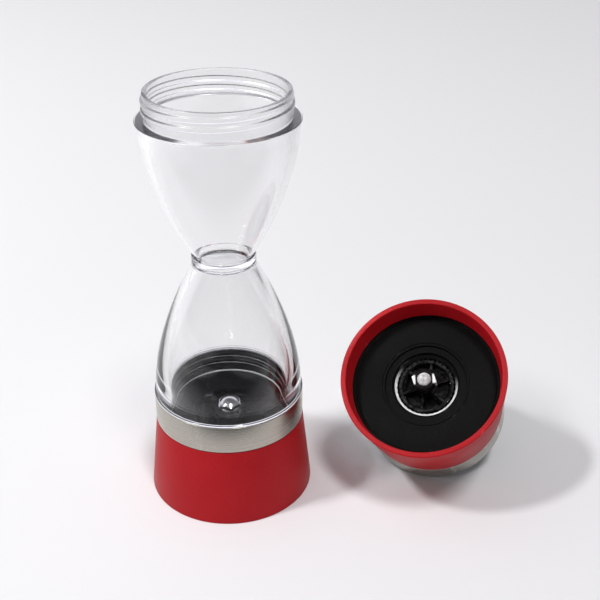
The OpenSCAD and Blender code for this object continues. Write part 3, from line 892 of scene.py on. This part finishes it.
# the cups' walls and floors are thinner here than in the solids, for the way they refract
jarSettings = {
    "profileSteps": 48,
    "turnSteps": 192,
    "neckHeight": 9,
    "neckWall": 1.5,
    "flangeWidth": 3,
    "flangeThickness": 0.8,
    "cupStep": 0.5,
    "cupWall": 1.3,
    "neckRun": 5,
    "belly": 16.7,
    "lip": 0.4,
    "ridge": 0.6,
    "pitch": 3,
    "threadStart": 1.3,
    "threadTurns": 2.1,
    "waistR": 11.1,
    "seamGroove": 0.25,
    "lower": {"end": 11.1, "ring": 1.6, "knee": (18.9, 35.1), "floor": 2.0, "flat": 8.9, "soft": 1.2},
    "upper": {"end": 10.3, "ring": 2.2, "knee": (17.4, 36.5), "floor": 0.7, "flat": 8.6, "soft": 1.2},
}


def cornerArc(before, point, after, radius, steps=5):
    return filletPoints(Vector(before), Vector(point), Vector(after), radius, steps)


def cupWalls(s, shape, height, bodyR):
    # the outer and inner outlines of one cup, its lip at 0, each from the lip to the waist
    neckR = bodyR - s["flangeWidth"]
    holeR = neckR - s["neckWall"]
    cupR = bodyR - s["cupStep"]
    neck, lip = s["neckHeight"], s["lip"]
    cup = neck + s["flangeThickness"]
    ring = height - shape["ring"]
    kneeR, kneeZ = shape["knee"][0], cup + shape["knee"][1]
    flat, floor, soft = shape["flat"], height - shape["floor"], shape["soft"]
    outer = (
        cornerArc((holeR, 0), (neckR, 0), (neckR, neck), lip)
        + evenSteps((neckR, lip), (neckR, neck - 0.2), 0.12)
        + cornerArc((neckR, 0), (neckR, neck), (bodyR, neck), 0.2)
        + cornerArc((neckR, neck), (bodyR, neck), (bodyR, cup), 0.35)
        + cornerArc((bodyR, neck), (bodyR, cup), (cupR, cup), 0.25)
        + cubicCurve((cupR, cup), (cupR, cup + s["belly"]), (kneeR, kneeZ), (shape["end"], ring),
                     s["profileSteps"])
        + cornerArc((shape["end"], ring - 1), (s["waistR"], ring), (s["waistR"], height), 0.12)
        + cornerArc((s["waistR"], ring), (s["waistR"], height - s["seamGroove"]),
                    (s["waistR"] - s["seamGroove"], height), 0.02)
    )
    inner = (
        cornerArc((neckR, 0), (holeR, 0), (holeR, cup), lip)
        + evenSteps((holeR, lip), (holeR, cup + s["neckRun"]), 0.5)
        + cubicCurve((holeR, cup + s["neckRun"]), (holeR, cup + s["belly"]),
                     (kneeR - s["cupWall"], kneeZ - soft), (flat, floor - soft), s["profileSteps"])
        + cornerArc((flat, floor - soft), (flat, floor), (0, floor), soft, 8)[1:]
        + [Vector((0, floor))]
    )
    return inner, outer


def makeJar(s):
    bodyR = reachOf("lower_steel_band")[0]
    foot, seam = reachOf("lower_cup")[1:]
    top = reachOf("upper_cup")[2]
    lowerInner, lowerOuter = cupWalls(s, s["lower"], seam - foot, bodyR)
    upperInner, upperOuter = cupWalls(s, s["upper"], top - seam, bodyR)
    outline = [Vector((point.x, foot + point.y)) for point in reversed(lowerInner)]
    outline += [Vector((point.x, foot + point.y)) for point in lowerOuter]
    outline += [Vector((s["waistR"] - s["seamGroove"], seam))]
    outline += [Vector((point.x, top - point.y)) for point in reversed(upperOuter)]
    outline += [Vector((point.x, top - point.y)) for point in upperInner]
    bm = spinOutline(outline, s["turnSteps"], closed=False)
    neckR = bodyR - s["flangeWidth"]
    start, turns, pitch = s["threadStart"], s["threadTurns"], s["pitch"]
    raiseThread(bm, neckR, s["ridge"], foot + start, pitch, 0, turns, foot + 0.3, foot + s["neckHeight"])
    raiseThread(bm, neckR, s["ridge"], top - start - turns * pitch, pitch, 0, turns,
                top - s["neckHeight"], top - 0.3)
    jar = showPiece(bm, "lower_cup", "clear_acrylic", Matrix.Identity(4))
    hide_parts("upper_cup")


collarSettings = {
    "topEdge": 2.15,
    "runGap": 0.25,
    "wall": 1.8,
    "ledgeWidth": 1.7,
    "ledgeThickness": 1.6,
    "clipThickness": 1.1,
    "clipLip": 0.65,
    "groove": 0.6,
    "leadIn": 1,
    "sealLand": 9.6,          # from the flange's face down to the seal's seat
    "bridgeRim": 2,
    "threadGap": 0.3,
    "threadFromLand": 0.6,
    "threadFirstTurn": 1 / 3,
    "threadClear": 0.3,       # of the pitch, below the collar's top
    "turnSteps": 224,
}


def makeCollar(head, s):
    bodyR, bandZ, topZ = reachOf("lower_steel_band")
    endZ = reachOf("lower_thread_collar")[1]
    outerR = bodyR - s["topEdge"] - s["runGap"]
    holeR = outerR - s["wall"]
    ledgeR = holeR - s["ledgeWidth"]
    topR = bodyR - bandSettings["sheet"]
    neckR = bodyR - jarSettings["flangeWidth"]
    socketR = neckR + jarSettings["ridge"] + s["threadGap"]
    land = topZ + 0.1 - s["sealLand"]
    ledge = land - s["bridgeRim"]
    clip = endZ + s["clipLip"]
    clipTop = clip + s["clipThickness"]
    grooveR = outerR - s["groove"]
    outline = (
        roundedOutline([
            (socketR, topZ, 0.15), (topR, topZ, 0.1), (topR, bandZ, 0.1), (outerR + s["leadIn"], bandZ, 0),
            (outerR, bandZ - s["leadIn"], 0), (outerR, clipTop, 0.05), (grooveR, clipTop, 0.05),
            (grooveR, clip, 0.05), (outerR, clip, 0.05), (outerR, endZ, 0.2), (holeR, endZ, 0.2),
            (holeR, ledge - s["ledgeThickness"], 0.1), (ledgeR, ledge - s["ledgeThickness"], 0.2),
            (ledgeR, ledge, 0.2), (holeR, ledge, 0.05), (holeR, land, 0.1), (socketR, land, 0.1),
        ])
        + evenSteps((socketR, land + 0.1), (socketR, topZ - 0.15), 0.12)
    )
    bm = spinOutline(outline, s["turnSteps"])
    pitch = jarSettings["pitch"]
    start = land + s["threadFromLand"] + jarSettings["threadStart"] - pitch / 2
    lastTurn = (topZ - pitch * s["threadClear"] - start) / pitch
    raiseThread(bm, socketR, -jarSettings["ridge"], start, pitch,
                s["threadFirstTurn"], lastTurn, land + 0.1, topZ)
    showPiece(bm, head + "_thread_collar", "black_gloss_moulding", headPlaces[head])


plateSettings = {
    "level": 9,
    "thickness": 2.5,
    "outerR": 27.15,
    "mouthR": 12.3,
    "eyeR": 14.9,
    "eyeDepth": 0.8,
    "lip": 1,
    "lines": (15.7, 25.6),
    "lineWidth": 0.35,
    "lineDepth": 0.25,
    "lineLean": 0.04,
    "tubeR": 16.8,
    "tubeHoleR": 15.1,
    "tubeTop": 25.4,
    "rideR": (22.7, 24.5),
    "rideTop": 19.75,
    "notchWidth": 3.2,
    "notchDepth": 5.1,
    "notches": 3,
    "soft": 0.12,
}


def makeCoverPlate(head, s):
    low, high, soft = s["level"], s["level"] + s["thickness"], s["soft"]
    eye, seat = low + s["eyeDepth"], low + s["eyeDepth"] + s["lip"]
    corners = [(s["mouthR"], eye, 0.2), (s["eyeR"], eye, 0.15), (s["eyeR"], low, 0.2)]
    for line in s["lines"]:
        bottom, lean, far = low + s["lineDepth"], s["lineLean"], line + s["lineWidth"]
        corners += [(line, low, 0.06), (line + lean, bottom, 0.05),
                    (far - lean, bottom, 0.05), (far, low, 0.06)]
    corners += [
        (s["outerR"], low, soft), (s["outerR"], high, soft), (s["rideR"][1], high, soft),
        (s["rideR"][1], s["rideTop"], soft), (s["rideR"][0], s["rideTop"], soft), (s["rideR"][0], high, soft),
        (s["tubeR"], high, soft), (s["tubeR"], s["tubeTop"], soft), (s["tubeHoleR"], s["tubeTop"], soft),
        (s["tubeHoleR"], seat, soft), (s["mouthR"], seat, soft),
    ]
    bm = spinOutline(roundedOutline(corners))
    for vert in bm.verts:
        # notches in the tube's upper end hold the outer burr's lugs
        radius, level = math.hypot(vert.co.x, vert.co.y) / mm, vert.co.z / mm
        if not (s["tubeHoleR"] - 0.1 < radius < s["tubeR"] + 0.1 and level > s["tubeTop"] - 0.5):
            continue
        for index in range(s["notches"]):
            off = math.atan2(vert.co.y, vert.co.x) - math.tau * index / s["notches"]
            off = (off + math.pi) % math.tau - math.pi
            if abs(off) * radius < s["notchWidth"] / 2:
                vert.co.z -= s["notchDepth"] * mm
    showPiece(bm, head + "_cover_plate", "black_moulding", headPlaces[head])


burrEdgeSettings = {
    "outerR": 11.57,
    "innerR": 10.67,
    "outerLevel": 10.76,
    "innerLevel": 11.56,
    "teeth": 36,
    "stepsPerTooth": 6,
    "bite": 0.16,
}


def makeBurrEdge(head, s):
    # the chamfer of the outer burr, its inner edge cut by the teeth; its finish paints a highlight on the part
    # that looks up
    bm = bmesh.new()
    steps = s["teeth"] * s["stepsPerTooth"]
    verts = [bm.verts.new((radius * mm, 0, level * mm)) for radius, level in (
        (s["innerR"], s["innerLevel"]), (s["outerR"], s["outerLevel"]))]
    edge = bm.edges.new(verts)
    bmesh.ops.spin(bm, geom=verts + [edge], cent=(0, 0, 0), axis=(0, 0, 1), dvec=(0, 0, 0),
                   angle=math.tau, steps=steps, use_merge=True, use_duplicate=False)
    slope = (s["outerLevel"] - s["innerLevel"]) / (s["outerR"] - s["innerR"])
    for vert in bm.verts:
        radius = math.hypot(vert.co.x, vert.co.y) / mm
        if radius > s["innerR"] + 0.1:
            continue
        phase = (math.atan2(vert.co.y, vert.co.x) / math.tau * s["teeth"]) % 1
        bite = s["bite"] * (1 - abs(2 * phase - 1))
        vert.co.x *= (radius + bite) / radius
        vert.co.y *= (radius + bite) / radius
        vert.co.z += bite * slope * mm
    bmesh.ops.recalc_face_normals(bm, faces=bm.faces)
    if sum(face.normal.z for face in bm.faces) > 0:
        bmesh.ops.reverse_faces(bm, faces=bm.faces)
    bm.transform(headPlaces[head])
    mesh = bpy.data.meshes.new(head + "_burr_edge")
    bm.to_mesh(mesh)
    bm.free()
    ring = bpy.data.objects.new(head + "_burr_edge", mesh)
    bpy.context.scene.collection.objects.link(ring)
    mesh.materials.append(finishes[head, "edge_painted_highlight"])
    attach(ring, bodyOf[head + "_outer_burr"])


for head in ("lower", "upper"):
    makeSkirt(head, skirtSettings)
    makeBand(head, bandSettings)
    makeCollar(head, collarSettings)
    makeCoverPlate(head, plateSettings)
    makeBurrEdge(head, burrEdgeSettings)

makeJar(jarSettings)
print("shells and cups modelled")

# each piece's slot, how far its edges are softened in mm, and a finish where the slot's own isn't shown
mechanism = {
    "outer_burr": ("burr_ceramic", 0.06, None),
    "inner_burr": ("burr_ceramic", 0.06, None),
    # the adjusting nut's finish paints it near-black with two painted highlights
    "adjusting_nut": ("bright_steel", 0.08, "nut_painted_dark_and_glints"),
    "drive_shaft": ("bright_steel", 0.08, "pale_zinc"),
    "feed_bridge": ("black_gloss_moulding", 0.1, None),
    "bridge_washer": ("bright_steel", 0.08, None),
    "dome_nut": ("bright_steel", 0.08, None),
    "retaining_clip": ("black_moulding", 0.08, None),
    "neck_seal": ("silicone", 0.1, None),
}

for head in ("lower_", "upper_"):
    for piece, (slot, soften, finish) in mechanism.items():
        dressedCopy(head + piece, slot, soften, finish=finish)
    bendSpring(dressedCopy(head + "burr_spring", "spring_steel", 0, 60))
print("mechanism dressed")
